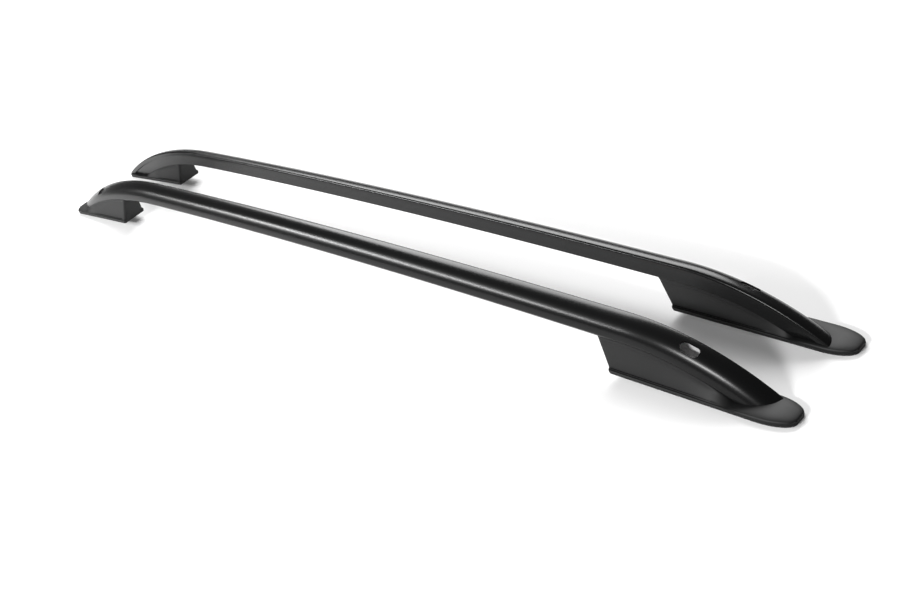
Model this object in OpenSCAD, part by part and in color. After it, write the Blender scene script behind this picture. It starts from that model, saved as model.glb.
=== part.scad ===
// Roof side rail pair: two bent aluminium bars, each on a short rear foot and a long front foot.
// X runs forward along the rails, Y to the left, Z up. The origin is on the ground below the
// middle of the pair. Each rail is drawn as the right one, with its outer side towards -Y, and
// the left one is its mirror image. A foot is drawn with x running inboard from its tip.

/* [Pair] */
// Overall length of each rail
rail_len = 1862; // [1780:1:1950]
// Distance between the centre lines of the two bars
bar_spacing = 139.5; // [110:0.5:300]

/* [Bar path] */
// Height of the bar's centre line at its highest point
peak_height = 92; // [90:0.5:94]
// Distance of the highest point from the rear tip
peak_x = 717; // [717:8:725]
// Radius of the long shallow arch
crown_radius = 20700; // [19500:100:23000]
// Radius of the bend above the rear foot
rear_bend_radius = 722; // [722:8:730]
// Slope of the bar above the rear landing point, degrees
rear_slope = 26.3; // [26.3:0.2:26.5]
// Rear landing point of the centre line, from the rear tip
rear_land_x = 55; // [55:2:57]
// Height of the centre line at the rear landing point
rear_land_z = 14.4; // [14.4:0.6:15]
// Radius of the bend above the front foot
front_bend_radius = 404; // [404:6:410]
// Slope of the bar above the front landing point, degrees
front_slope = 33; // [33:0.5:33.5]
// Front landing point of the centre line, from the front tip
front_land_x = 66; // [62:1:69]
// Height of the centre line at the front landing point
front_land_z = 8.6; // [7.5:0.1:9.6]

/* [Bar section] */
// Radius of the rounded outer face
face_radius = 30; // [29:0.5:31]
// Centre of that radius, inboard of the centre line
face_in = 9; // [8.4:0.1:9.6]
// Centre of that radius, below the centre line
face_down = 10.5; // [9.5:0.1:11.5]
// Distance from the centre line to the edge of the inner lip
lip_reach = 14.5; // [13.8:0.1:15.2]
// Distance from the centre line to the flat inner face
inner_reach = 11.5; // [11:0.1:12.5]
// Height of the underside of the inner lip over the centre line
lip_rise = 10; // [9:0.1:11]
// Depth of the flat bottom below the centre line
bottom_drop = 14; // [13.5:0.1:14.5]
// Radius of the lip's upper edge
lip_radius = 4; // [3.5:0.1:4.5]
// Radius of the lower outer edge
outer_edge_radius = 6; // [5.5:0.1:6.5]
// Size of the lower inner edge
inner_edge = 2; // [1:0.1:2.2]
// Wall of the hollow bar
bar_wall = 2.4; // [2:0.1:2.8]
// Bottom wall of the hollow bar, which takes the screws
bar_floor = 3.4; // [3:0.1:3.8]

/* [Feet] */
// Width of the feet at the base
foot_width = 54; // [53:0.5:57]
// Distance from the outer edge of the base to the bar's centre line
bar_in = 35; // [34:0.5:36]
// Length of the rear foot
rear_foot_len = 232; // [226:1:240]
// Length of the front foot
front_foot_len = 296; // [290:1:302]
// Lift of the rear foot's inboard end, for the crown of the roof
rear_rise = 14; // [12:0.5:15]
// Lift of the front foot's inboard end, for the crown of the roof
front_rise = 10; // [8:0.5:11]
// Length of the front tip's outer corner
nose_out_len = 55; // [50:1:58]
// Width of the front tip's outer corner
nose_out_width = 20; // [18:0.5:22]
// Length of the front tip's inner corner
nose_in_len = 48; // [43:1:52]
// Width of the front tip's inner corner
nose_in_width = 20; // [18:0.5:22]
// Radius of the rear tip's outer corner
rear_corner_out = 26; // [23:0.5:28]
// Radius of the rear tip's inner corner
rear_corner_in = 18; // [16:0.5:20]
// Corner radius of the base at the inboard ends
base_corner = 5; // [3:0.5:7]
// Height of the base rim above the gasket
rim_height = 4; // [3.6:0.1:4.5]
// Ledge that the base rim leaves beside the side faces
rim_ledge = 2.5; // [2.2:0.1:2.8]
// Height of the nose's crown above the rim
nose_crown = 4.5; // [3.5:0.1:5.5]
// Length of the nose's crown
nose_len = 100; // [94:1:104]
// Height of the rear tip's crown above the rim
rear_crown = 2.5; // [1.5:0.1:3]
// Length of the rear tip's crown
rear_crown_len = 60; // [55:1:64]
// Inset of the crowns from the edge of the rim
crown_inset = 1; // [0.6:0.1:1.5]
// Thickness of the floor that the bar's ends stand on
seat_floor = 2.5; // [2.2:0.1:2.8]
// Reach of the side faces under the bar's outer edge
skirt_out = 18; // [17:0.1:18.5]
// Depth of the side faces' upper edge below the centre line
skirt_drop = 11; // [10.5:0.1:11.5]
// Wall of the moulded feet
foot_wall = 3; // [2.6:0.1:3.2]
// Thickness of the stiffening ribs inside the feet
rib_thick = 2.2; // [1.8:0.1:2.8]
// Distance between the ribs
rib_pitch = 36; // [32:1:42]
// Overhang of the feet's inboard ends at the bar
end_lean = 20; // [16:0.5:22]
// Depth of the recessed side panels
panel_depth = 1.4; // [1:0.1:1.8]
// Width of the frame around the side panels
panel_frame = 5; // [4.5:0.1:5.5]
// Distance from the rim up to the side panels
panel_foot = 1.5; // [1:0.1:2]

/* [Gaskets] */
// Thickness of the gaskets
gasket_thick = 3; // [2.6:0.1:3.5]
// Width of the gaskets' band
gasket_band = 8; // [7:0.5:9]
// Step from the base rim in to the gasket
gasket_step = 1; // [0.6:0.1:1.4]

/* [Roof bolts] */
// Distance of the rear roof bolt from the rear tip
rear_bolt_x = 122; // [118:1:126]
// Distance of the front roof bolt from the front tip
front_bolt_x = 160; // [155:1:166]
// Length of the bolt slots in the bar's top
slot_len = 30; // [28:1:32]
// Width of the bolt slots
slot_width = 14; // [13:0.5:15]
// Distance of the bolts and screws outboard of the bar's centre line
bolt_out = 4; // [3:0.5:5]
// Bore of the sleeves, for the roof bolts
bolt_bore = 8.4; // [6.6:0.1:8.8]
// Outer diameter of the sleeves
sleeve_dia = 12; // [11:0.1:12.6]
// Diameter of the sleeves' heads and of the bosses under them
sleeve_head_dia = 16; // [15:0.1:16.6]
// Thickness of the sleeves' heads
sleeve_head = 2.5; // [2:0.1:3]
// Height of the sleeves' lower ends over the roof
sleeve_gap = 1; // [0.6:0.1:1.5]
// Rise of the bosses above the bar's bottom wall
boss_rise = 3.5; // [3.2:0.1:4.5]

/* [Foot screws] */
// Distance of the rear foot's first screw from the tip
rear_screw_a = 92; // [90:1:94]
// Distance of the rear foot's second screw from the tip
rear_screw_b = 196; // [186:1:202]
// Distance of the front foot's first screw from the tip
front_screw_a = 130; // [126:1:134]
// Distance of the front foot's second screw from the tip
front_screw_b = 252; // [240:1:258]
// Diameter of the screws
screw_dia = 4.8; // [4.2:0.1:5.2]
// Diameter of the screws' heads
screw_head_dia = 9; // [8.5:0.1:9.5]
// Thickness of the screws' heads
screw_head = 3; // [2.6:0.1:3.2]
// Width across the flats of the hexagon socket
screw_socket = 4; // [3:0.1:4.5]
// Reach of the screws past the bar's bottom wall
screw_reach = 4; // [3:0.5:6]
// Plastic between a screw's head and the bar
screw_seat = 4; // [3.5:0.1:4.5]

/* [Hidden] */

// Clearances and small allowances
seam = 0.3;
bore_gap = 0.3;
overcut = 1;
overlap = 0.5;
far_out = 100;
over_bend = 8;
skirt_lift = 2;
side_lean = 1.25;
far_side = 4;
crown_rise = 0.3;
crown_hold = 0.48;
crown_power = 0.7;
socket_part = 0.6;

// Smoothness
face_steps = 12;
edge_steps = 4;
corner_steps = 8;
dome_steps = 8;
body_steps = 14;
dome_rings = 12;
bend_fn = 360;
arch_fn = 2400;
bore_fn = 48;

// Bar path, with its bends tangent to the shallow arch
arch_z = peak_height - crown_radius;
function slide_to_arch(px, pz, slope, radius) =
    let (along = px * cos(slope) + pz * sin(slope))
    -along + sqrt(along * along - px * px - pz * pz + pow(crown_radius - radius, 2));
function bend_centre(land_x, land_z, slope, radius, peak) =
    let (cx = land_x + radius * sin(slope), cz = land_z - radius * cos(slope))
    let (t = slide_to_arch(cx - peak, cz - arch_z, slope, radius))
    [cx + t * cos(slope), cz + t * sin(slope)];
rear_m = bend_centre(rear_land_x, rear_land_z, rear_slope, rear_bend_radius, peak_x);
front_m = bend_centre(front_land_x, front_land_z, front_slope, front_bend_radius, rail_len - peak_x);
front_c = [rail_len - front_m[0], front_m[1]];
rear_join = atan2(peak_x - rear_m[0], rear_m[1] - arch_z);
front_join = -atan2(front_c[0] - peak_x, front_c[1] - arch_z);
rear_joint = [peak_x - crown_radius * sin(rear_join), arch_z + crown_radius * cos(rear_join)];
front_joint = [peak_x - crown_radius * sin(front_join), arch_z + crown_radius * cos(front_join)];

// Height of the bar's centre line, or of a line at a set distance above it
function arc_z(c, r, x) = c[1] + sqrt(r * r - pow(x - c[0], 2));
function bar_z(x, above) =
    x < rear_joint[0] ? arc_z(rear_m, rear_bend_radius + above, x)
    : x < front_joint[0] ? arc_z([peak_x, arch_z], crown_radius + above, x)
    : arc_z(front_c, front_bend_radius + above, x);

// Sizes of one end, 0 for the rear and 1 for the front, with s measured inboard from the tip
function foot_len(front) = front ? front_foot_len : rear_foot_len;
function rise(front) = front ? front_rise : rear_rise;
function bolt_s(front) = front ? front_bolt_x : rear_bolt_x;
function screw_s(front) = front ? [front_screw_a, front_screw_b] : [rear_screw_a, rear_screw_b];
function tip_out(front) = front ? [nose_out_len, nose_out_width] : [rear_corner_out, rear_corner_out];
function tip_in(front) = front ? [nose_in_len, nose_in_width] : [rear_corner_in, rear_corner_in];
function crown(front) = front ? nose_crown : rear_crown;
function crown_len(front) = front ? nose_len : rear_crown_len;
function tilt(front) = atan(rise(front) / foot_len(front));
function base_z(front, s, up) = s * rise(front) / foot_len(front) + up;
function end_z(front, s, above) = bar_z(front ? rail_len - s : s, above);
function bend_c(front) = front ? front_m : rear_m;
function bend_r(front) = front ? front_bend_radius : rear_bend_radius;
function slope_at(front, s) = asin((bend_c(front)[0] - s) / bend_r(front));
function first_s(front, above, up, s = 20) =
    end_z(front, s, above) > base_z(front, s, up) ? s : first_s(front, above, up, s + 1);

// Plan outline of a foot's base
function corner_arc(x, y, size, from) =
    [for (k = [0:corner_steps]) let (a = from + 90 * k / corner_steps) [x + size[0] * cos(a), y + size[1] * sin(a)]];
function plan(front, inset, length) =
    let (low = inset - bar_in, high = foot_width - bar_in - inset, end = length - inset)
    let (co = tip_out(front) - [inset, inset], ci = tip_in(front) - [inset, inset])
    let (ce = [max(base_corner - inset, overlap), max(base_corner - inset, overlap)])
    concat(
        corner_arc(inset + co[0], low + co[1], co, 180),
        corner_arc(end - ce[0], low + ce[1], ce, 270),
        corner_arc(end - ce[0], high - ce[1], ce, 0),
        corner_arc(inset + ci[0], high - ci[1], ci, 90)
    );
function cut_back(s, size) = s >= size[0] ? 0 : size[1] * (1 - sqrt(1 - pow(1 - s / size[0], 2)));
function out_y(front, s, inset) = inset - bar_in + cut_back(s - inset, tip_out(front) - [inset, inset]);
function in_y(front, s, inset) =
    foot_width - bar_in - inset - cut_back(s - inset, tip_in(front) - [inset, inset]);

// Bar section, drawn with x as the height and y as the way out from the centre line
function arc(c, r, from, to, steps) =
    [for (k = [0:steps]) let (a = from + (to - from) * k / steps) c + r * [cos(a), sin(a)]];
function lip_centre() =
    let (reach = face_in + lip_radius - lip_reach)
    [sqrt(pow(face_radius - lip_radius, 2) - pow(reach, 2)) - face_down, lip_radius - lip_reach];
function outer_centre() =
    let (drop = face_down + outer_edge_radius - bottom_drop)
    [outer_edge_radius - bottom_drop, sqrt(pow(face_radius - outer_edge_radius, 2) - pow(drop, 2)) - face_in];
function meet(c) = atan2(c[1] + face_in, c[0] + face_down);
function bar_outline(grow, floor_grow) =
    let (lip = lip_centre(), edge = outer_centre())
    let (low = -bottom_drop - floor_grow, flat = -inner_reach - grow)
    concat(
        arc(lip, lip_radius + grow, -90, meet(lip), edge_steps),
        arc([-face_down, -face_in], face_radius + grow, meet(lip), meet(edge), face_steps),
        arc(edge, outer_edge_radius + grow, meet(edge), 180, edge_steps),
        [[low, edge[1]], [low, flat + inner_edge], [low + inner_edge, flat]],
        grow < 0 ? [] : [[lip_rise - grow, flat], [lip_rise - grow, -lip_reach - grow]]
    );

module on_path(point, slope) {
    translate([point[0], 0, point[1]]) rotate([90, 0, 0]) rotate([0, 0, 90 + slope]) children();
}

module bent(radius, angle, fn) {
    translate([-radius, 0, 0]) rotate_extrude(angle = angle, $fn = fn) translate([radius, 0]) children();
}

module rear_bend(grow, floor_grow) {
    on_path(rear_joint, rear_join)
        bent(rear_bend_radius, rear_slope + over_bend - rear_join, bend_fn)
        polygon(bar_outline(grow, floor_grow));
}

module front_bend(grow, floor_grow) {
    on_path(front_joint, front_join)
        bent(front_bend_radius, -front_slope - over_bend - front_join, bend_fn)
        polygon(bar_outline(grow, floor_grow));
}

module arch(join, grow, floor_grow) {
    on_path([peak_x, peak_height], 0)
        bent(crown_radius, join, arch_fn)
        polygon(bar_outline(grow, floor_grow));
}

module bar_solid(grow, floor_grow) {
    rear_bend(grow, floor_grow);
    arch(rear_join, grow, floor_grow);
    arch(front_join, grow, floor_grow);
    front_bend(grow, floor_grow);
}

// Ruled solid through rings of points in the YZ plane, one for each place along the foot
module loft(places, rings) {
    n = len(rings[0]);
    points = [for (k = [0:len(places) - 1], p = rings[k]) [places[k], p[0], p[1]]];
    start = [for (j = [n - 1:-1:0]) j];
    end = [for (j = [0:n - 1]) (len(places) - 1) * n + j];
    sides = [for (k = [0:len(places) - 2], j = [0:n - 1], half = [0, 1])
        let (a = k * n + j, b = k * n + (j + 1) % n)
        half ? [a, b + n, a + n] : [a, b, b + n]];
    polyhedron(points = points, faces = concat([start], sides, [end]), convexity = 6);
}

// Carries what is drawn with x inboard from a tip to that end of the rail
module at_end(front) {
    if (front) translate([rail_len, 0, 0]) mirror([1, 0, 0]) children();
    else children();
}

module on_base(front, up) {
    rotate([0, -tilt(front), 0]) translate([0, 0, up]) children();
}

// Local frame beside the bar's centre line, z along the bar's normal
module on_bar(front, s) {
    translate([s, -bolt_out, end_z(front, s, 0)]) rotate([0, -slope_at(front, s), 0]) children();
}

// Space over the seat plane and inside the foot's outline, which holds the bar's end
module end_space(front, inset, up, length) {
    on_base(front, up) linear_extrude(far_out + peak_height) polygon(plan(front, inset, length));
}

module bar_space(inset, up) {
    end_space(0, inset, up, rail_len * 0.6);
    at_end(1) end_space(1, inset, up, rail_len * 0.6);
}

seat_up = gasket_thick + seat_floor;
rim_up = gasket_thick + rim_height;
cavity_inset = (foot_wall + panel_depth) * side_lean;
head_r = sleeve_head_dia / 2;
function boss_top(front) = end_z(front, bolt_s(front), bar_floor - bottom_drop) + boss_rise;

module slot() {
    for (side = [-1, 1]) translate([side * (slot_len - slot_width) / 2, 0, 0])
        cylinder(d = slot_width, h = far_out, $fn = bore_fn);
    translate([(slot_width - slot_len) / 2, -slot_width / 2, 0])
        cube([slot_len - slot_width, slot_width, far_out]);
}

module bar_holes(front) {
    translate([bolt_s(front), -bolt_out, end_z(front, bolt_s(front), 0)]) slot();
    translate([bolt_s(front), -bolt_out, base_z(front, bolt_s(front), 0)])
        cylinder(r = head_r + bore_gap, h = boss_top(front) - base_z(front, bolt_s(front), 0), $fn = bore_fn);
    for (s = screw_s(front)) on_bar(front, s) translate([0, 0, -bottom_drop - overcut])
        cylinder(d = screw_dia + bore_gap, h = bar_floor + 2 * overcut, $fn = bore_fn);
}

module bar() {
    difference() {
        intersection() {
            bar_solid(0, 0);
            bar_space(rim_ledge + seam, seat_up);
        }
        intersection() {
            bar_solid(-bar_wall, -bar_floor);
            bar_space(rim_ledge + seam + bar_wall, seat_up - overcut);
        }
        bar_holes(0);
        at_end(1) bar_holes(1);
    }
}

// Side faces of a foot: the lower and the upper point of each, outer first
function side_low(front, s, inner) =
    [inner ? in_y(front, s, rim_ledge) : out_y(front, s, rim_ledge), base_z(front, s, rim_up)];
function side_high(front, s, inner) =
    [inner ? inner_reach - overcut : -skirt_out, end_z(front, s, inner ? skirt_lift - bottom_drop : -skirt_drop)];
function body_start(front) = first_s(front, -skirt_drop, rim_up);
function body_end(front) = foot_len(front) + end_lean + overcut;
function places(from, to, steps) = [for (k = [0:steps]) from + (to - from) * k / steps];

function body_ring(front, s) =
    let (ol = side_low(front, s, 0), oh = side_high(front, s, 0))
    let (il = side_low(front, s, 1), ih = side_high(front, s, 1))
    [ol - [0, overcut], oh, ih, il - [0, overcut]];

module end_cut(front, back) {
    low = base_z(front, foot_len(front), rim_up);
    lean = atan(end_lean / (end_z(front, foot_len(front) + end_lean, -bottom_drop) - low));
    translate([foot_len(front), -far_out, low]) rotate([0, lean, 0]) translate([-back, 0, -far_out])
        cube([far_out, 2 * far_out, 3 * far_out]);
}

module body(front) {
    s = places(body_start(front), body_end(front), body_steps);
    difference() {
        loft(s, [for (v = s) body_ring(front, v)]);
        end_cut(front, 0);
    }
}

// Low rounded crown on the tip's rim
function crown_at(front, s) =
    let (up = min(s / (crown_len(front) * crown_rise), 1), down = max(s / crown_len(front) - crown_hold, 0))
    crown(front) * sqrt(1 - pow(1 - up, 2)) * cos(90 * down / (1 - crown_hold));
function crown_ring(front, s) =
    let (low = out_y(front, s, crown_inset), high = in_y(front, s, crown_inset))
    let (mid = (low + high) / 2, half = (high - low) / 2, top = base_z(front, s, rim_up))
    concat(
        [[low, top - overlap]],
        [for (k = [0:dome_steps]) let (a = 180 * k / dome_steps, c = cos(a))
            [mid - half * sign(c) * pow(abs(c), crown_power), top + crown_at(front, s) * pow(sin(a), crown_power)]],
        [[high, top - overlap]]
    );

module crown_dome(front) {
    s = [for (k = [0:dome_rings])
        crown_inset + overlap + (crown_len(front) - crown_inset - overcut) * pow(k / dome_rings, 1.6)];
    loft(s, [for (v = s) crown_ring(front, v)]);
}

// Shallow recess in a side face, inside a frame
function recess_ring(front, s, inner) =
    let (low = side_low(front, s, inner), high = side_high(front, s, inner))
    let (run = high - low, size = norm(run), dir = run / size, out = inner ? [dir[1], -dir[0]] : [-dir[1], dir[0]])
    let (a = low + panel_foot * dir, b = high - panel_frame * dir)
    inner ? [a - panel_depth * out, b - panel_depth * out, b + far_side * out, a + far_side * out]
    : [a + far_side * out, b + far_side * out, b - panel_depth * out, a - panel_depth * out];

module recess(front, inner) {
    start = first_s(front, -skirt_drop - panel_frame - panel_foot, rim_up);
    s = places(start, foot_len(front) + end_lean, body_steps);
    difference() {
        loft(s, [for (v = s) recess_ring(front, v, inner)]);
        end_cut(front, panel_frame);
    }
}

// Hollow under a foot, with its ribs and bosses left standing
function cavity_ring(front, s) =
    let (low = base_z(front, s, gasket_thick - overcut), high = end_z(front, s, -bottom_drop - foot_wall))
    let (ol = side_low(front, s, 0)[0] + cavity_inset, il = side_low(front, s, 1)[0] - cavity_inset)
    let (oh = cavity_inset - skirt_out, ih = inner_reach - cavity_inset)
    [[ol, low], [ol, base_z(front, s, rim_up - overlap)], [oh, high], [ih, high], [il, base_z(front, s, rim_up - overlap)], [il, low]];

module cavity(front) {
    start = first_s(front, -bottom_drop - foot_wall, rim_up + foot_wall);
    s = places(start, body_end(front), body_steps);
    difference() {
        loft(s, [for (v = s) cavity_ring(front, v)]);
        end_cut(front, foot_wall);
        for (x = [foot_len(front) - rib_pitch:-rib_pitch:start]) translate([x, -far_out, 0])
            cube([rib_thick, 2 * far_out, far_out]);
        translate([0, -bolt_out - rib_thick / 2, 0]) cube([2 * far_out + rail_len, rib_thick, far_out]);
        translate([bolt_s(front), -bolt_out, 0]) cylinder(r = head_r + foot_wall, h = far_out, $fn = bore_fn);
        for (s = screw_s(front)) on_bar(front, s) translate([0, 0, -far_out])
            cylinder(d = screw_head_dia + 2 * foot_wall, h = far_out, $fn = bore_fn);
    }
}

module screw_bores(front) {
    for (s = screw_s(front)) on_bar(front, s) {
        translate([0, 0, -bottom_drop - screw_seat - far_out])
            cylinder(d = screw_head_dia + 2 * bore_gap, h = far_out, $fn = bore_fn);
        translate([0, 0, -bottom_drop - screw_seat - overcut])
            cylinder(d = screw_dia + bore_gap, h = screw_seat + bottom_drop, $fn = bore_fn);
    }
}

module bolt_boss(front) {
    translate([bolt_s(front), -bolt_out, base_z(front, bolt_s(front), rim_up)])
        cylinder(r = head_r, h = boss_top(front) - base_z(front, bolt_s(front), rim_up), $fn = bore_fn);
}

module foot(front) {
    difference() {
        union() {
            difference() {
                union() {
                    on_base(front, gasket_thick) linear_extrude(rim_height)
                        polygon(plan(front, 0, foot_len(front)));
                    crown_dome(front);
                    body(front);
                }
                intersection() {
                    union() {
                        at_end(front) {
                            if (front) front_bend(seam, seam);
                            else rear_bend(seam, seam);
                            if (front) arch(front_join, seam, seam);
                        }
                    }
                    end_space(front, rim_ledge, seat_up, 2 * foot_len(front));
                }
                cavity(front);
                recess(front, 0);
                recess(front, 1);
            }
            bolt_boss(front);
        }
        screw_bores(front);
        translate([bolt_s(front), -bolt_out, -overcut]) cylinder(d = sleeve_dia + bore_gap, h = far_out, $fn = bore_fn);
    }
}

module gasket(front) {
    on_base(front, 0) linear_extrude(gasket_thick) difference() {
        polygon(plan(front, gasket_step, foot_len(front)));
        polygon(plan(front, gasket_step + gasket_band, foot_len(front)));
    }
}

module bolt_sleeve(front) {
    low = base_z(front, bolt_s(front), sleeve_gap);
    translate([bolt_s(front), -bolt_out, 0]) difference() {
        union() {
            translate([0, 0, low]) cylinder(d = sleeve_dia, h = boss_top(front) - low + overlap, $fn = bore_fn);
            translate([0, 0, boss_top(front)]) cylinder(r = head_r, h = sleeve_head, $fn = bore_fn);
        }
        cylinder(d = bolt_bore, h = far_out, $fn = bore_fn);
    }
}

module foot_screws(front) {
    for (s = screw_s(front)) on_bar(front, s) translate([0, 0, -bottom_drop - screw_seat]) difference() {
        union() {
            translate([0, 0, -screw_head]) cylinder(d = screw_head_dia, h = screw_head, $fn = bore_fn);
            translate([0, 0, -overlap])
                cylinder(d = screw_dia, h = overlap + screw_seat + bar_floor + screw_reach, $fn = bore_fn);
        }
        translate([0, 0, -screw_head - overcut])
            cylinder(d = screw_socket / cos(30), h = overcut + screw_head * socket_part, $fn = 6);
    }
}

module right() {
    translate([-rail_len / 2, -bar_spacing / 2, 0]) children();
}

module left() {
    mirror([0, 1, 0]) right() children();
}

color("#242526") right() bar();  // right_bar
color("#242526") left() bar();  // left_bar
color("#3a3b3c") right() at_end(1) foot(1);  // right_front_foot
color("#3a3b3c") left() at_end(1) foot(1);  // left_front_foot
color("#3a3b3c") right() foot(0);  // right_rear_foot
color("#3a3b3c") left() foot(0);  // left_rear_foot
color("#161616") right() at_end(1) gasket(1);  // right_front_gasket
color("#161616") left() at_end(1) gasket(1);  // left_front_gasket
color("#161616") right() gasket(0);  // right_rear_gasket
color("#161616") left() gasket(0);  // left_rear_gasket
color("#a8abad") right() at_end(1) bolt_sleeve(1);  // right_front_bolt_sleeve
color("#a8abad") left() at_end(1) bolt_sleeve(1);  // left_front_bolt_sleeve
color("#a8abad") right() bolt_sleeve(0);  // right_rear_bolt_sleeve
color("#a8abad") left() bolt_sleeve(0);  // left_rear_bolt_sleeve
color("#8d9092") right() at_end(1) foot_screws(1);  // right_front_foot_screws
color("#8d9092") left() at_end(1) foot_screws(1);  // left_front_foot_screws
color("#8d9092") right() foot_screws(0);  // right_rear_foot_screws
color("#8d9092") left() foot_screws(0);  // left_rear_foot_screws
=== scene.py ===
import math

import bmesh
import bpy
from mathutils import Matrix, Vector

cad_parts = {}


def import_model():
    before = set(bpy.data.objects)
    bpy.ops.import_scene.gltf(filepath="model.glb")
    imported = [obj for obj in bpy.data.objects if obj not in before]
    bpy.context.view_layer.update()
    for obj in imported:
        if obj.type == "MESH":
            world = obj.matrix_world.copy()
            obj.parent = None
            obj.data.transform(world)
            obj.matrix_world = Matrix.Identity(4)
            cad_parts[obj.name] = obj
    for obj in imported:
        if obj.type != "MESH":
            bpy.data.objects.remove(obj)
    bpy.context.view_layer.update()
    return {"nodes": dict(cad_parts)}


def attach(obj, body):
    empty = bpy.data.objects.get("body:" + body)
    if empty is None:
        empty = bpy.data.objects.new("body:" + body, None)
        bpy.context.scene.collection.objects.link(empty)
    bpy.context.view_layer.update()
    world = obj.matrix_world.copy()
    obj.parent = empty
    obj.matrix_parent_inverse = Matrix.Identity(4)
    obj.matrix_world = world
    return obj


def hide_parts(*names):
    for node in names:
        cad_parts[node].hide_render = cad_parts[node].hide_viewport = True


bl_info = {
    "name": "Roof side rail pair",
    "version": (1, 0, 0),
    "blender": (4, 5, 0),
    "location": "View3D > Sidebar > Rails",
    "description": "Builds the finished bars, feet and gaskets of a roof side rail pair on its frame",
    "category": "Object",
}

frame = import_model()

# Sizes in millimetres, in one rail's own frame: x from the rear tip, y from the bar's centre line
# with the outer side towards -y, z up. s runs inboard from a tip.
RAIL = 1862.0
SPACING = 139.5
PEAK_X, PEAK_Z, CROWN_R = 717.0, 92.0, 20700.0
REAR_BEND = dict(radius=722.0, slope=26.3, x=55.0, z=14.4)
FRONT_BEND = dict(radius=404.0, slope=33.0, x=66.0, z=8.6)
OVER_BEND, BEND_STEP, ARCH_RINGS = 8.0, 0.6, 48
FACE_R, FACE_IN, FACE_DOWN = 30.0, 9.0, 10.5
LIP_REACH, INNER_REACH, LIP_RISE, LIP_R = 14.5, 11.5, 10.0, 4.0
LIP_FILLET, LIP_EDGE = 1.2, 0.8
BOTTOM, EDGE_R, INNER_EDGE = 14.0, 6.0, 2.0
WALL, FLOOR_WALL = 2.4, 3.4
WIDTH, BAR_IN = 54.0, 35.0
GASKET, GASKET_BAND, GASKET_STEP = 3.0, 8.0, 1.0
RIM, LEDGE, SEAT = 4.0, 2.5, 2.5
PANEL_FOOT, STEP_BAND = 1.5, 7.0
SKIRT_DROP, SKIRT_LIFT, SKIRT_SKIN = 11.0, 2.0, 0.6
FOOT_WALL, RIB, RIB_PITCH, BASE_CORNER = 4.4, 2.2, 36.0, 5.0
SLOT_LEN, SLOT_WIDTH, BOLT_OUT = 30.0, 14.0, 4.0
HOLLOW_REACH, SLOT_CUT = 62.0, 60.0
BOLT_BOSS, SCREW_BOSS, END_WALL = (11.0, 6.2), (7.5, 4.9), 3.4
REAR = dict(
    front=False, length=232.0, rise=14.0, bolt=122.0, screws=(92.0, 196.0), out=(26.0, 26.0),
    inn=(18.0, 18.0), crown=2.5, crown_len=60.0, post=12.0, frame=2.5, lean=20.0, skirt=18.0, skirt_rise=15.0,
)
FRONT = dict(
    front=True, length=296.0, rise=10.0, bolt=160.0, screws=(130.0, 252.0), out=(55.0, 20.0),
    inn=(48.0, 20.0), crown=4.5, crown_len=100.0, post=1.0, frame=4.0, lean=20.0, skirt=18.0, skirt_rise=0.0,
)
FRONT_STRIP_SHARE = 0.7
ENDS = (REAR, FRONT)
SIDES = (("right", -1), ("left", 1))


def sin(a):
    return math.sin(math.radians(a))


def cos(a):
    return math.cos(math.radians(a))


def bend_centre(bend, peak):
    """Centre of a bend that is tangent to the shallow arch, from the end that peak is measured from."""
    x = bend["x"] + bend["radius"] * sin(bend["slope"]) - peak
    z = bend["z"] - bend["radius"] * cos(bend["slope"]) - PEAK_Z + CROWN_R
    along = x * cos(bend["slope"]) + z * sin(bend["slope"])
    t = -along + math.sqrt(along * along - x * x - z * z + (CROWN_R - bend["radius"]) ** 2)
    return x + peak + t * cos(bend["slope"]), z + PEAK_Z - CROWN_R + t * sin(bend["slope"])


REAR_C = bend_centre(REAR_BEND, PEAK_X)
FRONT_M = bend_centre(FRONT_BEND, RAIL - PEAK_X)
FRONT_C = (RAIL - FRONT_M[0], FRONT_M[1])
REAR_JOIN = math.degrees(math.atan2(PEAK_X - REAR_C[0], REAR_C[1] - PEAK_Z + CROWN_R))
FRONT_JOIN = -math.degrees(math.atan2(FRONT_C[0] - PEAK_X, FRONT_C[1] - PEAK_Z + CROWN_R))


def arcs(slope):
    """Centre and radius of the arc that has this slope."""
    if slope > REAR_JOIN:
        return REAR_C, REAR_BEND["radius"]
    if slope < FRONT_JOIN:
        return FRONT_C, FRONT_BEND["radius"]
    return (PEAK_X, PEAK_Z - CROWN_R), CROWN_R


def bar_z(x, above=0.0):
    """Height of a line set above the bar's centre line, at x from the rear tip."""
    for centre, radius, slope_low, slope_high in (
        (REAR_C, REAR_BEND["radius"], REAR_JOIN, 90.0),
        ((PEAK_X, PEAK_Z - CROWN_R), CROWN_R, FRONT_JOIN, REAR_JOIN),
        (FRONT_C, FRONT_BEND["radius"], -90.0, FRONT_JOIN),
    ):
        slope = math.degrees(math.asin(max(-1.0, min(1.0, (centre[0] - x) / (radius + above)))))
        if slope_low <= slope <= slope_high:
            return centre[1] + math.sqrt(max(0.0, (radius + above) ** 2 - (x - centre[0]) ** 2))
    return 0.0


def end_z(end, s, above=0.0):
    return bar_z(RAIL - s if end["front"] else s, above)


def base_z(end, s, up=0.0):
    return s * end["rise"] / end["length"] + up


def steps(low, high, count):
    return [low + (high - low) * k / count for k in range(count + 1)]


def station_slopes():
    """Slopes at which the bar's rings stand, from the rear end to the front end."""
    rear = REAR_BEND["slope"] + OVER_BEND
    front = -FRONT_BEND["slope"] - OVER_BEND
    out = steps(rear, REAR_JOIN, int((rear - REAR_JOIN) / BEND_STEP))[:-1]
    out += steps(REAR_JOIN, FRONT_JOIN, ARCH_RINGS)[:-1]
    out += steps(FRONT_JOIN, front, int((FRONT_JOIN - front) / BEND_STEP))
    return out


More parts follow.
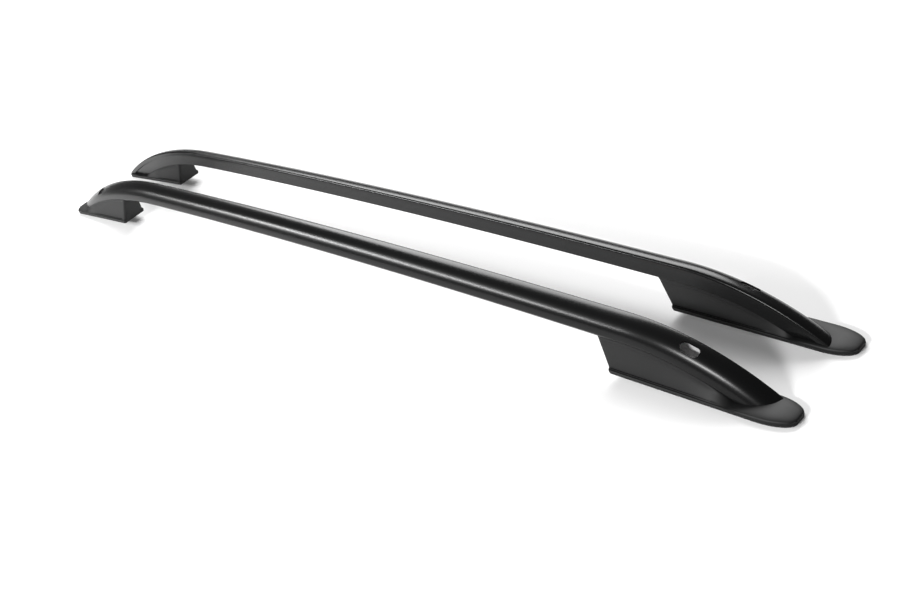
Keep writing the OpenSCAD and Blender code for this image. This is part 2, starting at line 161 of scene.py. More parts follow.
def arc_points(centre, radius, a0, a1, count):
    return [(centre[0] + radius * cos(a), centre[1] + radius * sin(a)) for a in steps(a0, a1, count)]


def section(grow=0.0, floor_grow=0.0):
    """Outline of the bar as (height, way out), from the inner lip round the outer face to the inner face."""
    reach = FACE_IN + LIP_R - LIP_REACH
    lip = (math.sqrt((FACE_R - LIP_R) ** 2 - reach * reach) - FACE_DOWN, LIP_R - LIP_REACH)
    drop = FACE_DOWN + EDGE_R - BOTTOM
    edge = (EDGE_R - BOTTOM, math.sqrt((FACE_R - EDGE_R) ** 2 - drop * drop) - FACE_IN)

    def meet(c):
        return math.degrees(math.atan2(c[1] + FACE_IN, c[0] + FACE_DOWN))

    low, flat = -BOTTOM - floor_grow, -INNER_REACH - grow
    out = arc_points(lip, LIP_R + grow, -90, meet(lip), 9)
    out += arc_points((-FACE_DOWN, -FACE_IN), FACE_R + grow, meet(lip), meet(edge), 42)[1:-1]
    out += arc_points(edge, EDGE_R + grow, meet(edge), 180, 12)
    corner = (low + INNER_EDGE, flat + INNER_EDGE)
    out += arc_points(corner, INNER_EDGE, 180, 270, 6)
    if grow >= 0:
        inner = (LIP_RISE - grow - LIP_FILLET, flat - LIP_FILLET)
        out += arc_points(inner, LIP_FILLET, 90, 0, 6)
        lower = (LIP_RISE - grow + LIP_EDGE, -LIP_REACH - grow + LIP_EDGE)
        out += arc_points(lower, LIP_EDGE, 180, 270, 3)[:-1]
    return out


def world(side, x, y, z):
    """A point of one rail's own frame, in the shared frame in metres."""
    return Vector(((x - RAIL / 2) / 1000, (-SPACING / 2 + y) * -side / 1000, z / 1000))


def from_end(end, side, s, y, z):
    return world(side, RAIL - s if end["front"] else s, y, z)


def loft(bm, rings, caps=True):
    """Draws a loop out from ring to ring, each a list of points, and caps the first and the last."""
    made = bmesh.ops.create_circle(bm, segments=len(rings[0]), radius=1.0, cap_ends=False)
    loop = made["verts"]
    edges = list({e for v in loop for e in v.link_edges})
    first = edges
    for v, point in zip(loop, rings[0]):
        v.co = point
    for ring in rings[1:]:
        drawn = bmesh.ops.extrude_edge_only(bm, edges=edges)["geom"]
        new = {g for g in drawn if isinstance(g, bmesh.types.BMVert)}
        edges = [g for g in drawn if isinstance(g, bmesh.types.BMEdge) and new.issuperset(g.verts)]
        loop = [next(e.other_vert(v) for e in v.link_edges if e.other_vert(v) in new) for v in loop]
        for v, point in zip(loop, ring):
            v.co = point
    if caps:
        bmesh.ops.contextual_create(bm, geom=first)
        bmesh.ops.contextual_create(bm, geom=edges)


def cut(bm, point, normal):
    """Cuts away what lies on the normal's side of a plane and closes the cut."""
    geom = bm.verts[:] + bm.edges[:] + bm.faces[:]
    made = bmesh.ops.bisect_plane(
        bm, geom=geom, plane_co=point, plane_no=normal, clear_outer=True, dist=1e-7
    )
    edges = [g for g in made["geom_cut"] if isinstance(g, bmesh.types.BMEdge)]
    if edges:
        bmesh.ops.contextual_create(bm, geom=edges)


def finish_mesh(name, bm, smooth_angle=32.0):
    bmesh.ops.remove_doubles(bm, verts=bm.verts[:], dist=1e-7)
    bmesh.ops.recalc_face_normals(bm, faces=bm.faces[:])
    for f in bm.faces:
        f.smooth = True
    for e in bm.edges:
        e.smooth = not (len(e.link_faces) == 2 and e.calc_face_angle(0.0) > math.radians(smooth_angle))
    mesh = bpy.data.meshes.new(name)
    bm.to_mesh(mesh)
    bm.free()
    obj = bpy.data.objects.new(name, mesh)
    bpy.context.scene.collection.objects.link(obj)
    return obj


def subtract(obj, cutter):
    """Takes the cutter's volume out of obj and removes the cutter."""
    mod = obj.modifiers.new("cut", "BOOLEAN")
    mod.operation = "DIFFERENCE"
    mod.solver = "EXACT"
    mod.object = cutter
    mod.material_mode = "TRANSFER"
    with bpy.context.temp_override(object=obj, active_object=obj, selected_objects=[obj]):
        bpy.ops.object.modifier_apply(modifier=mod.name)
    bpy.data.objects.remove(cutter, do_unlink=True)


def sharpen(obj, angle=32.0):
    bm = bmesh.new()
    bm.from_mesh(obj.data)
    for f in bm.faces:
        f.smooth = True
    for e in bm.edges:
        e.smooth = not (len(e.link_faces) == 2 and e.calc_face_angle(0.0) > math.radians(angle))
    bm.to_mesh(obj.data)
    bm.free()


# Plan outline of a foot's base

def corner_back(s, size, inset):
    """How far a rounded corner draws the outline in, at s from the tip."""
    a, b = size[0] - inset, size[1] - inset
    t = s - inset
    if t >= a:
        return 0.0
    return b * (1 - math.sqrt(max(0.0, 1 - (1 - max(t, 0.0) / a) ** 2)))


def out_y(end, s, inset=0.0):
    return inset - BAR_IN + corner_back(s, end["out"], inset)


def in_y(end, s, inset=0.0):
    return WIDTH - BAR_IN - inset - corner_back(s, end["inn"], inset)


def plan(end, inset, count=14):
    """Closed outline of the base at an inset, with the same number of points for every inset."""
    low, high = inset - BAR_IN, WIDTH - BAR_IN - inset
    far = end["length"] - inset
    co = (end["out"][0] - inset, end["out"][1] - inset)
    ci = (end["inn"][0] - inset, end["inn"][1] - inset)
    ce = max(BASE_CORNER - inset, 0.3)
    out = [(inset + co[0] + co[0] * cos(a), low + co[1] + co[1] * sin(a)) for a in steps(180, 270, count)]
    out += [(far - ce + ce * cos(a), low + ce + ce * sin(a)) for a in steps(270, 360, count)]
    out += [(far - ce + ce * cos(a), high - ce + ce * sin(a)) for a in steps(0, 90, count)]
    out += [(inset + ci[0] + ci[0] * cos(a), high - ci[1] + ci[1] * sin(a)) for a in steps(90, 180, count)]
    return out


# Materials

def new_material(name):
    mat = bpy.data.materials.new(name)
    mat.use_nodes = True
    tree = mat.node_tree
    return mat, tree, tree.nodes["Principled BSDF"]


def add_noise(tree, scale, detail=2.0, stretch=None):
    coord = tree.nodes.new("ShaderNodeTexCoord")
    noise = tree.nodes.new("ShaderNodeTexNoise")
    noise.inputs["Scale"].default_value = scale
    noise.inputs["Detail"].default_value = detail
    if stretch:
        mapping = tree.nodes.new("ShaderNodeMapping")
        mapping.inputs["Scale"].default_value = stretch
        tree.links.new(coord.outputs["Object"], mapping.inputs["Vector"])
        tree.links.new(mapping.outputs["Vector"], noise.inputs["Vector"])
    else:
        tree.links.new(coord.outputs["Object"], noise.inputs["Vector"])
    return noise


def vary_roughness(tree, bsdf, noise, low, high):
    ramp = tree.nodes.new("ShaderNodeMapRange")
    ramp.inputs["To Min"].default_value = low
    ramp.inputs["To Max"].default_value = high
    tree.links.new(noise.outputs["Fac"], ramp.inputs["Value"])
    tree.links.new(ramp.outputs["Result"], bsdf.inputs["Roughness"])


def vary_colour(tree, bsdf, noise, dark, light):
    ramp = tree.nodes.new("ShaderNodeValToRGB")
    ramp.color_ramp.elements[0].position = 0.35
    ramp.color_ramp.elements[0].color = (*dark, 1)
    ramp.color_ramp.elements[1].position = 0.65
    ramp.color_ramp.elements[1].color = (*light, 1)
    tree.links.new(noise.outputs["Fac"], ramp.inputs["Fac"])
    tree.links.new(ramp.outputs["Color"], bsdf.inputs["Base Color"])


def add_bump(tree, bsdf, noise, strength, distance):
    bump = tree.nodes.new("ShaderNodeBump")
    bump.inputs["Strength"].default_value = strength
    bump.inputs["Distance"].default_value = distance
    tree.links.new(noise.outputs["Fac"], bump.inputs["Height"])
    tree.links.new(bump.outputs["Normal"], bsdf.inputs["Normal"])


def scaled(colour, k):
    return tuple(min(1.0, c * k) for c in colour)


def bar_material(colour, roughness):
    mat, tree, bsdf = new_material("bar_finish")
    cloud = add_noise(tree, 9.0, 3.0)
    vary_colour(tree, bsdf, cloud, scaled(colour, 0.92), scaled(colour, 1.08))
    grain = add_noise(tree, 900.0, 2.0)
    vary_roughness(tree, bsdf, grain, roughness - 0.03, roughness + 0.03)
    add_bump(tree, bsdf, grain, 0.012, 0.0001)
    bsdf.inputs["Specular IOR Level"].default_value = 0.2
    return mat


def foot_material(colour, roughness):
    mat, tree, bsdf = new_material("foot_moulding")
    cloud = add_noise(tree, 14.0, 3.0)
    vary_colour(tree, bsdf, cloud, scaled(colour, 0.93), scaled(colour, 1.07))
    grain = add_noise(tree, 1100.0, 2.0)
    vary_roughness(tree, bsdf, grain, roughness - 0.05, roughness + 0.05)
    add_bump(tree, bsdf, grain, 0.06, 0.0002)
    # Painted shade: ambient occlusion turns the specular level down in recesses and under the bar's overhang,
    # so these hollows show darker
    hollow = tree.nodes.new("ShaderNodeAmbientOcclusion")
    hollow.inputs["Distance"].default_value = 0.014
    painted_shade_sheen = tree.nodes.new("ShaderNodeMapRange")
    painted_shade_sheen.inputs["From Min"].default_value = 0.45
    painted_shade_sheen.inputs["To Min"].default_value = 0.02
    painted_shade_sheen.inputs["To Max"].default_value = 0.32
    tree.links.new(hollow.outputs["AO"], painted_shade_sheen.inputs["Value"])
    tree.links.new(painted_shade_sheen.outputs["Result"], bsdf.inputs["Specular IOR Level"])
    return mat


def gasket_material(colour):
    mat, tree, bsdf = new_material("gasket_rubber")
    cloud = add_noise(tree, 60.0, 2.0)
    vary_colour(tree, bsdf, cloud, scaled(colour, 0.85), scaled(colour, 1.15))
    vary_roughness(tree, bsdf, cloud, 0.7, 0.85)
    add_bump(tree, bsdf, cloud, 0.1, 0.0003)
    return mat


def steel_material(name, colour, roughness, metallic=1.0):
    mat, tree, bsdf = new_material(name)
    cloud = add_noise(tree, 220.0, 3.0)
    vary_colour(tree, bsdf, cloud, scaled(colour, 0.9), scaled(colour, 1.05))
    vary_roughness(tree, bsdf, cloud, roughness - 0.06, roughness + 0.06)
    bsdf.inputs["Metallic"].default_value = metallic
    return mat


def paint(obj, mat):
    obj.data.materials.clear()
    obj.data.materials.append(mat)


# Pieces

def ring_at(slope, outline):
    """The bar's outline placed on the path where it has this slope, as (x, y, z)."""
    centre, radius = arcs(slope)
    out = []
    for height, way_out in outline:
        r = radius + height
        out.append((centre[0] - r * sin(slope), -way_out, centre[1] + r * cos(slope)))
    return out


def tip_planes(end, inset, count=7):
    """Upright planes round a tip's outline: a point and an outward direction in plan, per plane."""
    co = (end["out"][0] - inset, end["out"][1] - inset)
    ci = (end["inn"][0] - inset, end["inn"][1] - inset)
    low, high = inset - BAR_IN, WIDTH - BAR_IN - inset
    out = []
    for size, y, angles in ((co, low + co[1], (180, 255)), (ci, high - ci[1], (105, 180))):
        for a in steps(*angles, count):
            place = (inset + size[0] + size[0] * cos(a), y + size[1] * sin(a))
            out.append((*place, cos(a) / size[0], sin(a) / size[1]))
    return out


def place_dir(end, side, dx, dy, dz):
    return Vector((-dx if end["front"] else dx, -side * dy, dz)).normalized()


def make_bar(side_name, side, coat, bare):
    outline = section()
    slopes = station_slopes()
    middle = len(slopes) // 2
    whole = bmesh.new()
    for end, part in ((REAR, slopes[:middle + 1]), (FRONT, slopes[middle:])):
        bm = bmesh.new()
        loft(bm, [[world(side, *p) for p in ring_at(a, outline)] for a in part], caps=False)
        seat = from_end(end, side, 0, 0, GASKET + SEAT)
        tilt = math.atan(end["rise"] / end["length"])
        cut(bm, seat, place_dir(end, side, math.sin(tilt), 0, -math.cos(tilt)))
        for s, y, dx, dy in tip_planes(end, LEDGE + 0.3):
            cut(bm, from_end(end, side, s, y, 0), place_dir(end, side, dx, dy, 0))
        part_mesh = bpy.data.meshes.new("part")
        bm.to_mesh(part_mesh)
        bm.free()
        whole.from_mesh(part_mesh)
        bpy.data.meshes.remove(part_mesh)
    bar = finish_mesh(side_name + "_bar_skin", whole, 26.0)
    bar.data.materials.append(coat)
    for end in ENDS:
        bm = bmesh.new()
        x = RAIL - end["bolt"] if end["front"] else end["bolt"]
        inside = section(-WALL, -FLOOR_WALL)
        near = [a for a in slopes if abs(ring_at(a, [(0, 0)])[0][0] - x) < HOLLOW_REACH]
        loft(bm, [[world(side, *p) for p in ring_at(a, inside)] for a in near])
        hollow = finish_mesh("hollow", bm)
        hollow.data.materials.append(bare)
        subtract(bar, hollow)
        bm = bmesh.new()
        half, r = (SLOT_LEN - SLOT_WIDTH) / 2, SLOT_WIDTH / 2
        loop = [(x + half + r * cos(a), r * sin(a) - BOLT_OUT) for a in steps(-90, 90, 20)]
        loop += [(x - half + r * cos(a), r * sin(a) - BOLT_OUT) for a in steps(90, 270, 20)]
        loft(bm, [[world(side, p[0], p[1], z) for p in loop] for z in (bar_z(x), bar_z(x) + SLOT_CUT)])
        slot = finish_mesh("slot", bm)
        slot.data.materials.append(coat)
        subtract(bar, slot)
    sharpen(bar, 26.0)
    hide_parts(side_name + "_bar")
    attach(bar, "root")
    return bar


def crown_at(end, s):
    up = min(s / (end["crown_len"] * 0.3), 1.0)
    down = max(s / end["crown_len"] - 0.48, 0.0)
    if s >= end["crown_len"]:
        return 0.0
    return end["crown"] * math.sqrt(max(0.0, 1 - (1 - up) ** 2)) * cos(90 * down / 0.52)


def skirt_top(end, s):
    """Height of the outer side face's upper edge over the bar's centre line."""
    return end["skirt_rise"] * (1 - min(s / (end["length"] + end["lean"]), 1.0) ** 1.5) - SKIRT_DROP


def skirt_reach(end, s):
    """Way out of that edge: just outside the bar's face where it rises over the bar's lower half."""
    if not end["skirt_rise"]:
        return end["skirt"]
    return face_out(skirt_top(end, s), FACE_R + SKIRT_SKIN)


def face_out(height, radius):
    return math.sqrt(radius ** 2 - (height + FACE_DOWN) ** 2) - FACE_IN


def skirt_back(end, s, lean, low_z):
    """Points down inside the bar's wall, behind a raised skirt."""
    if not end["skirt_rise"]:
        return []
    top = skirt_top(end, s)
    heights = [top + (-FACE_DOWN - 1.0 - top) * k / 3 for k in range(4)]
    out = [(-face_out(h, FACE_R - WALL / 2), end_z(end, s + lean, h)) for h in heights]
    out.append((-FACE_IN - 5.0, end_z(end, s + lean, 1.4 - BOTTOM)))
    return [(s + lean, y, max(z, low_z)) for y, z in out]


def side_points(end, s, inner, sink):
    """Points up one side of a foot from the rim's ledge to under the bar, as (y, z, share of the height)."""
    last = end["length"]
    corner = max(0.0, s - (last - BASE_CORNER))
    back = BASE_CORNER - math.sqrt(max(0.0, BASE_CORNER ** 2 - corner ** 2))
    sgn = 1 if inner else -1
    low_y = (in_y(end, s, LEDGE) if inner else out_y(end, s, LEDGE)) - sgn * back
    low_z = base_z(end, s, GASKET + RIM)
    lean = end["lean"] * smooth((s - last + 90) / 90)
    high_y = (INNER_REACH - 1.0 if inner else -skirt_reach(end, s)) - sgn * back
    high_z = max(end_z(end, s + lean, SKIRT_LIFT - BOTTOM if inner else skirt_top(end, s)), low_z)
    if sgn * (high_y - low_y) > 0:
        high_y = low_y
    run = (high_y - low_y, high_z - low_z)
    size = max(math.hypot(*run), 1e-6)
    d = (run[0] / size, run[1] / size)
    n = (d[1], -d[0]) if inner else (-d[1], d[0])
    depth = sink * smooth((size - 17) / 10) if high_z > low_z + 3 else 0.0
    if s > last - end["post"]:
        depth = 0.0
    top = max(size - end["frame"], PANEL_FOOT + 1.6)
    spots = [(0, 0), (PANEL_FOOT * 0.5, 0), (PANEL_FOOT, 0), (PANEL_FOOT + 0.25, 0.5), (PANEL_FOOT + 0.5, 1)]
    band = min(STEP_BAND, (top - PANEL_FOOT - 0.5) * 0.4)
    spots += [(PANEL_FOOT + 0.5 + (top - band - PANEL_FOOT - 0.5) * k / 4, 1) for k in range(1, 5)]
    spots += [(top - band * 0.5, 0.86), (top - band * 0.15, 0.45), (top, 0)]
    spots += [(top + (size - top) * 0.5, 0), (size, 0)]
    out = []
    for at, deep in spots:
        at = min(at, size)
        y = low_y + d[0] * at - n[0] * depth * deep
        z = low_z + d[1] * at - n[1] * depth * deep
        out.append((y, z, at / size * (high_z > low_z)))
    return out, lean


def smooth(t):
    t = max(0.0, min(1.0, t))
    return t * t * (3 - 2 * t)


def dome(end, s, y):
    low, high = out_y(end, s, 1.0), in_y(end, s, 1.0)
    mid, half = (low + high) / 2, max((high - low) / 2, 0.1)
    u = min(1.0, abs((y - mid) / half))
    return crown_at(end, s) * (1 - u ** 2.6) ** 0.42


def foot_ring(end, s, sink):
    """One closed ring of a foot, as (s, y, z)."""
    z_low, z_rim = base_z(end, s, GASKET), base_z(end, s, GASKET + RIM)
    last = end["length"]
    corner = max(0.0, s - (last - BASE_CORNER))
    back = BASE_CORNER - math.sqrt(max(0.0, BASE_CORNER ** 2 - corner ** 2))
    soft = 1.5
    ease = soft - math.sqrt(max(0.0, soft ** 2 - (soft - min(s, soft)) ** 2))
    groove = 1.0 * smooth((s - 90) / 30) if end["front"] else 1.0 * smooth((s - 60) / 25)
    half = []
    for inner in (False, True):
        sgn = 1 if inner else -1
        edge = (in_y(end, s) if inner else out_y(end, s)) - sgn * back
        ledge = (in_y(end, s, LEDGE) if inner else out_y(end, s, LEDGE)) - sgn * back
        rim = [(edge - sgn * 0.6, z_low), (edge, z_low + 0.6), (edge, z_rim - soft)]
        rim += [(edge - sgn * soft * (1 - cos(a)), z_rim - soft * (1 - sin(a))) for a in (30, 60, 90)]
        rim += [(ledge + sgn * 0.5, z_rim), (ledge + sgn * 0.4, z_rim - groove)]
        rim.append((ledge - sgn * 0.1, z_rim - groove))
        pts, lean = side_points(end, s, inner, sink)
        half.append(([(s, y, min(z, z_rim - ease)) for y, z in rim], [(s + lean * h, y, z) for y, z, h in pts]))
    outer, inner = half
    across = skirt_back(end, s, lean, z_rim)
    a, b = (across or outer[1])[-1], inner[1][-1]
    for k in range(1, 8):
        t = k / 8
        across.append(tuple(a[i] + (b[i] - a[i]) * t for i in range(3)))
    ring = outer[0] + outer[1] + across + inner[1][::-1] + inner[0][::-1]
    out = []
    for x, y, z in ring:
        if z >= z_rim - 1.2 and s < end["crown_len"]:
            z = max(z, z_rim - ease + dome(end, s, y))
        out.append((x, y, z))
    return out


def make_foot(side_name, side, end, sink):
    name = side_name + ("_front_foot" if end["front"] else "_rear_foot")
    stations = [0.0, 0.15, 0.5, 1.0, 1.6, 2.4, 3.5, 5.0, 7.0, 9.0, 12.0]
    stations += [12.0 + 4.0 * k for k in range(1, int((end["length"] - 24) / 4))]
    stations += [end["length"] - BASE_CORNER + BASE_CORNER * sin(a) for a in steps(0, 88, 7)]
    stations += [end["length"] - end["post"] - 0.01, end["length"] - end["post"] + 0.4]
    stations = sorted(set(stations))
    bm = bmesh.new()
    rings = [[from_end(end, side, *p) for p in foot_ring(end, s, sink)] for s in stations]
    loft(bm, rings)
    foot = finish_mesh(name + "_skin", bm, 35.0)
    subtract(foot, cavity_cells(side, end))
    sharpen(foot, 35.0)
    bm = bmesh.new()
    bm.from_mesh(foot.data)
    for s, tilt, r_out, r_in, top in bosses(end):
        tube(bm, end, side, s, tilt, r_out, r_in, top)
    bmesh.ops.recalc_face_normals(bm, faces=bm.faces[:])
    bm.to_mesh(foot.data)
    bm.free()
    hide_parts(name)
    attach(foot, "root")
    return foot


def slope_at(end, s):
    centre = FRONT_M if end["front"] else REAR_C
    radius = FRONT_BEND["radius"] if end["front"] else REAR_BEND["radius"]
    return math.degrees(math.asin((centre[0] - s) / radius))


def bosses(end):
    """Bosses in a foot: place, lean, outer and inner radius, and the top's distance from the centre line."""
    out = [(end["bolt"], 0.0, *BOLT_BOSS, -BOTTOM - 1.0)]
    for s in end["screws"]:
        out.append((s, slope_at(end, s), *SCREW_BOSS, -BOTTOM - 1.0))
    return out


def tube(bm, end, side, s, tilt, r_out, r_in, top):
    """A hollow boss from just inside the base to the underside of the bar."""
    z = end_z(end, s)
    axis = (-sin(tilt), cos(tilt))
    depth = (z - base_z(end, s, GASKET + 0.6)) / max(axis[1], 0.2)
    rings = []
    for r, at in ((r_out, -depth), (r_out, top), (r_in, top), (r_in, -depth)):
        ring = []
        for a in steps(0, 360, 40)[:-1]:
            across = r * cos(a)
            low = at if at > -depth else -depth + across * axis[0] * 0.9
            along, up = axis[0] * low + axis[1] * across, axis[1] * low - axis[0] * across
            ring.append(from_end(end, side, s + along, r * sin(a) - BOLT_OUT, z + up))
        rings.append(ring)
    rings.append(rings[0])
    loft(bm, rings, caps=False)


def cavity_cells(side, end):
    """The spaces between the ribs under a foot, as one set of closed cells."""
    bm = bmesh.new()
    wall, length = FOOT_WALL * 1.25, end["length"]
    start = 20.0
    while end_z(end, start, -BOTTOM - 3.0) < base_z(end, start, GASKET + RIM + 3.0):
        start += 1.0
    ribs = []
    at = length - RIB_PITCH
    while at > start:
        ribs.append(at)
        at -= RIB_PITCH
    edges = [start] + sorted(ribs) + [length - END_WALL]
    for a, b in zip(edges, edges[1:]):
        a = a if a == start else a + RIB
        if b - a < 6:
            continue
        for half in (-1, 1):
            rings = []
            for s in steps(a, b, 6):
                lean = (end["lean"] - 1.0) * smooth((s - length + 90) / 90)
                low = base_z(end, s, GASKET - 1.0)
                mid = base_z(end, s, GASKET + RIM - 0.5)
                high = end_z(end, s + lean, -BOTTOM - 3.0)
                y_mid = half * RIB / 2 - BOLT_OUT
                if half < 0:
                    y_low, y_high = out_y(end, s, LEDGE) + wall, wall - end["skirt"]
                else:
                    y_low, y_high = in_y(end, s, LEDGE) - wall, INNER_REACH - wall
                ring = [(s, y_mid, low), (s, y_low, low), (s, y_low, mid)]
                ring += [(s + lean, y_high, high), (s + lean, y_mid, high)]
                rings.append([from_end(end, side, *p) for p in ring])
            loft(bm, rings)
    return finish_mesh("cells", bm)


def make_gasket(side_name, side, end):
    name = side_name + ("_front_gasket" if end["front"] else "_rear_gasket")
    inner = GASKET_STEP + GASKET_BAND
    profile = [(1.7, 0.0), (1.2, 0.15), (0.8, 0.6), (0.6, 1.4), (0.6, 2.6), (0.9, 3.6), (1.1, GASKET)]
    profile += [(inner, GASKET), (inner, 0.3), (inner - 0.3, 0.0), (inner - 3.0, 0.0), (inner - 3.4, 0.5)]
    profile += [(inner - 4.2, 0.5), (inner - 4.6, 0.0)]
    tilt = math.atan(end["rise"] / end["length"])
    bm = bmesh.new()
    rings = []
    for inset, z in profile:
        ring = []
        for s, y in plan(end, inset):
            along, up = s * math.cos(tilt) - z * math.sin(tilt), s * math.sin(tilt) + z * math.cos(tilt)
            ring.append(from_end(end, side, along, y, up))
        rings.append(ring)
    rings.append(rings[0])
    loft(bm, rings, caps=False)
    gasket = finish_mesh(name + "_skin", bm, 50.0)
    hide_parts(name)
    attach(gasket, "root")
    return gasket


# Add-on

class RailFinish(bpy.types.PropertyGroup):
    """Colours and surface finish."""

    bar_colour: bpy.props.FloatVectorProperty(
        name="Bar colour", description="Colour of the bars' satin coat",
        default=(0.004, 0.0041, 0.0042), subtype="COLOR", min=0, max=1,
    )
    bar_roughness: bpy.props.FloatProperty(
        name="Bar roughness", description="How broad the bars' highlights are",
        default=0.24, min=0.1, max=0.9, subtype="FACTOR",
    )
    foot_colour: bpy.props.FloatVectorProperty(
        name="Foot colour", description="Colour of the moulded feet",
        default=(0.006, 0.0061, 0.0062), subtype="COLOR", min=0, max=1,
    )
    foot_roughness: bpy.props.FloatProperty(
        name="Foot roughness", description="How matt the feet are",
        default=0.55, min=0.1, max=1, subtype="FACTOR",
    )
    gasket_colour: bpy.props.FloatVectorProperty(
        name="Gasket colour", description="Colour of the rubber gaskets",
        default=(0.01, 0.01, 0.01), subtype="COLOR", min=0, max=1,
    )
    steel_colour: bpy.props.FloatVectorProperty(
        name="Steel colour", description="Colour of the sleeves and the screws",
        default=(0.6, 0.6, 0.61), subtype="COLOR", min=0, max=1,
    )
    panel_depth: bpy.props.FloatProperty(
        name="Panel depth", description="Depth of the feet's side panels",
        default=0.0014, min=0.0004, max=0.0018, subtype="DISTANCE", unit="LENGTH",
    )


class StageLook(bpy.types.PropertyGroup):
    """Light and floor."""

    key_watts: bpy.props.FloatProperty(
        name="Key light", description="Power of the large light behind the rails, in watts",
        default=520.0, min=0, soft_max=1000,
    )
    strip_watts: bpy.props.FloatProperty(
        name="Strip lights", description="Power of the strip beside the rails; the front one has less",
        default=360.0, min=0, soft_max=1000,
    )
    fill: bpy.props.FloatProperty(
        name="Fill", description="Strength of the even light from all round", default=0.15, min=0, soft_max=2
    )
    floor_lift: bpy.props.FloatProperty(
        name="Floor lift", description="Light that the floor shows to the camera and in reflections alone",
        default=0.1, min=0, soft_max=1,
    )


class RAILS_OT_bars(bpy.types.Operator):
    """Build both bars with their slots"""

    bl_idname = "rails.bars"
    bl_label = "Bars"

    def execute(self, context):
        look = context.scene.rail_finish
        coat = bar_material(tuple(look.bar_colour), look.bar_roughness)
        bare = steel_material("bar_inside", (0.9, 0.9, 0.9), 0.4, 0.15)
        for name, side in SIDES:
            make_bar(name, side, coat, bare)
        return {"FINISHED"}


class RAILS_OT_feet(bpy.types.Operator):
    """Build the four moulded feet"""

    bl_idname = "rails.feet"
    bl_label = "Feet"

    def execute(self, context):
        look = context.scene.rail_finish
        mat = foot_material(tuple(look.foot_colour), look.foot_roughness)
        for name, side in SIDES:
            for end in ENDS:
                paint(make_foot(name, side, end, look.panel_depth * 1000), mat)
        return {"FINISHED"}


class RAILS_OT_gaskets(bpy.types.Operator):
    """Build the gaskets under the feet"""

    bl_idname = "rails.gaskets"
    bl_label = "Gaskets"

    def execute(self, context):
        mat = gasket_material(tuple(context.scene.rail_finish.gasket_colour))
        for name, side in SIDES:
            for end in ENDS:
                paint(make_gasket(name, side, end), mat)
        return {"FINISHED"}


class RAILS_OT_hardware(bpy.types.Operator):
    """Give the bolt sleeves and the foot screws their metal finish"""

    bl_idname = "rails.hardware"
    bl_label = "Sleeves and screws"

    def execute(self, context):
        colour = tuple(context.scene.rail_finish.steel_colour)
        sleeve = steel_material("sleeve_steel", colour, 0.3)
        screw = steel_material("screw_steel", scaled(colour, 0.7), 0.38)
        for name, node in frame["nodes"].items():
            if name.endswith("_bolt_sleeve"):
                paint(node, sleeve)
            elif name.endswith("_foot_screws"):
                paint(node, screw)
        return {"FINISHED"}


def area_light(name, watts, size, place, target, roll=0.0):
    data = bpy.data.lights.new(name, "AREA")
    data.shape = "RECTANGLE"
    data.size, data.size_y = size
    data.energy = watts
    light = bpy.data.objects.new(name, data)
    light.location = place
    aim = (Vector(target) - Vector(place)).to_track_quat("-Z", "Y")
    light.rotation_euler = (aim.to_matrix() @ Matrix.Rotation(math.radians(roll), 3, "Z")).to_euler()
    bpy.context.scene.collection.objects.link(light)
    return light


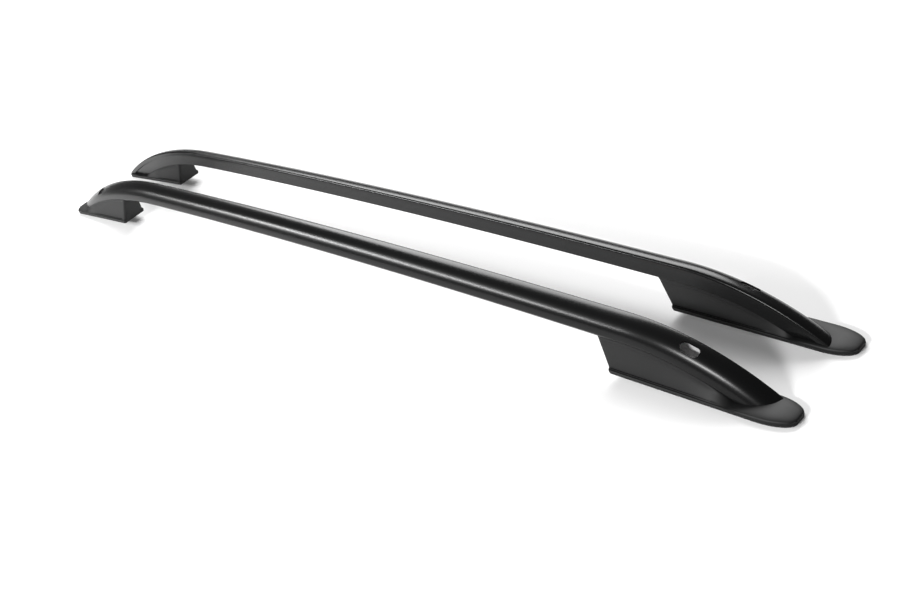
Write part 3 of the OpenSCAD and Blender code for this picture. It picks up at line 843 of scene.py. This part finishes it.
class RAILS_OT_stage(bpy.types.Operator):
    """Add the floor, the lights and the camera"""

    bl_idname = "rails.stage"
    bl_label = "Floor, lights and camera"

    def execute(self, context):
        scene = context.scene
        look = scene.stage_look
        bm = bmesh.new()
        bmesh.ops.create_grid(bm, x_segments=1, y_segments=1, size=12.0)
        mesh = bpy.data.meshes.new("floor")
        bm.to_mesh(mesh)
        bm.free()
        floor = bpy.data.objects.new("floor", mesh)
        scene.collection.objects.link(floor)
        mat = bpy.data.materials.new("floor_white")
        mat.use_nodes = True
        tree = mat.node_tree
        tree.nodes.clear()
        out = tree.nodes.new("ShaderNodeOutputMaterial")
        diffuse = tree.nodes.new("ShaderNodeBsdfDiffuse")
        diffuse.inputs["Color"].default_value = (0.86, 0.86, 0.86, 1)
        glow = tree.nodes.new("ShaderNodeEmission")
        glow.inputs["Strength"].default_value = look.floor_lift
        add = tree.nodes.new("ShaderNodeAddShader")
        mix = tree.nodes.new("ShaderNodeMixShader")
        path = tree.nodes.new("ShaderNodeLightPath")
        seen = path.outputs["Is Camera Ray"]
        for ray in ("Is Glossy Ray", "Is Transmission Ray"):
            either = tree.nodes.new("ShaderNodeMath")
            either.operation = "MAXIMUM"
            tree.links.new(seen, either.inputs[0])
            tree.links.new(path.outputs[ray], either.inputs[1])
            seen = either.outputs[0]
        tree.links.new(diffuse.outputs[0], add.inputs[0])
        tree.links.new(glow.outputs[0], add.inputs[1])
        tree.links.new(seen, mix.inputs[0])
        tree.links.new(diffuse.outputs[0], mix.inputs[1])
        tree.links.new(add.outputs[0], mix.inputs[2])
        tree.links.new(mix.outputs[0], out.inputs["Surface"])
        mesh.materials.append(mat)

        world_data = bpy.data.worlds.new("studio")
        world_data.use_nodes = True
        background = world_data.node_tree.nodes["Background"]
        background.inputs["Color"].default_value = (1, 1, 1, 1)
        seen = world_data.node_tree.nodes.new("ShaderNodeLightPath")
        white = world_data.node_tree.nodes.new("ShaderNodeMapRange")
        white.inputs["To Min"].default_value = look.fill
        white.inputs["To Max"].default_value = 1.0
        world_data.node_tree.links.new(seen.outputs["Is Camera Ray"], white.inputs["Value"])
        world_data.node_tree.links.new(white.outputs["Result"], background.inputs["Strength"])
        scene.world = world_data

        area_light("key", look.key_watts, (5.2, 2.8), (-3.0, 3.4, 3.8), (0, 0, 0))
        area_light("strip", look.strip_watts, (3.6, 0.45), (-4.8, -4.1, 2.9), (0.1, 0, 0))
        front_watts = look.strip_watts * FRONT_STRIP_SHARE
        area_light("front_strip", front_watts, (1.8, 0.45), (0.2, -5.0, 3.0), (0.8, 0, 0))

        data = bpy.data.cameras.new("camera")
        data.lens = 50.86
        data.sensor_width = 36.0
        camera = bpy.data.objects.new("camera", data)
        right, up, back = (0.6906, 0.6578, -0.3005), (-0.2008, 0.5737, 0.7941), (0.6948, -0.4881, 0.5283)
        turn = Matrix((right, up, back)).transposed()
        camera.matrix_world = Matrix.Translation((1.7523, -1.08845, 1.1230)) @ turn.to_4x4()
        scene.collection.objects.link(camera)
        scene.camera = camera

        scene.view_settings.view_transform = "Standard"
        return {"FINISHED"}


class RAILS_PT_panel(bpy.types.Panel):
    """Lists the steps that build the rails"""

    bl_idname = "RAILS_PT_panel"
    bl_label = "Roof side rails"
    bl_space_type = "VIEW_3D"
    bl_region_type = "UI"
    bl_category = "Rails"

    def draw(self, context):
        layout = self.layout
        for group in (context.scene.rail_finish, context.scene.stage_look):
            for name in group.__annotations__:
                layout.prop(group, name)
        for op in STEPS:
            layout.operator(op.bl_idname)


STEPS = (RAILS_OT_bars, RAILS_OT_feet, RAILS_OT_gaskets, RAILS_OT_hardware, RAILS_OT_stage)
CLASSES = (RailFinish, StageLook, *STEPS, RAILS_PT_panel)


def register():
    for cls in CLASSES:
        bpy.utils.register_class(cls)
    bpy.types.Scene.rail_finish = bpy.props.PointerProperty(type=RailFinish)
    bpy.types.Scene.stage_look = bpy.props.PointerProperty(type=StageLook)


def unregister():
    del bpy.types.Scene.stage_look
    del bpy.types.Scene.rail_finish
    for cls in reversed(CLASSES):
        bpy.utils.unregister_class(cls)


def main():
    register()
    bpy.ops.rails.bars()
    bpy.ops.rails.feet()
    bpy.ops.rails.gaskets()
    bpy.ops.rails.hardware()
    bpy.ops.rails.stage()


if __name__ == "__main__":
    main()
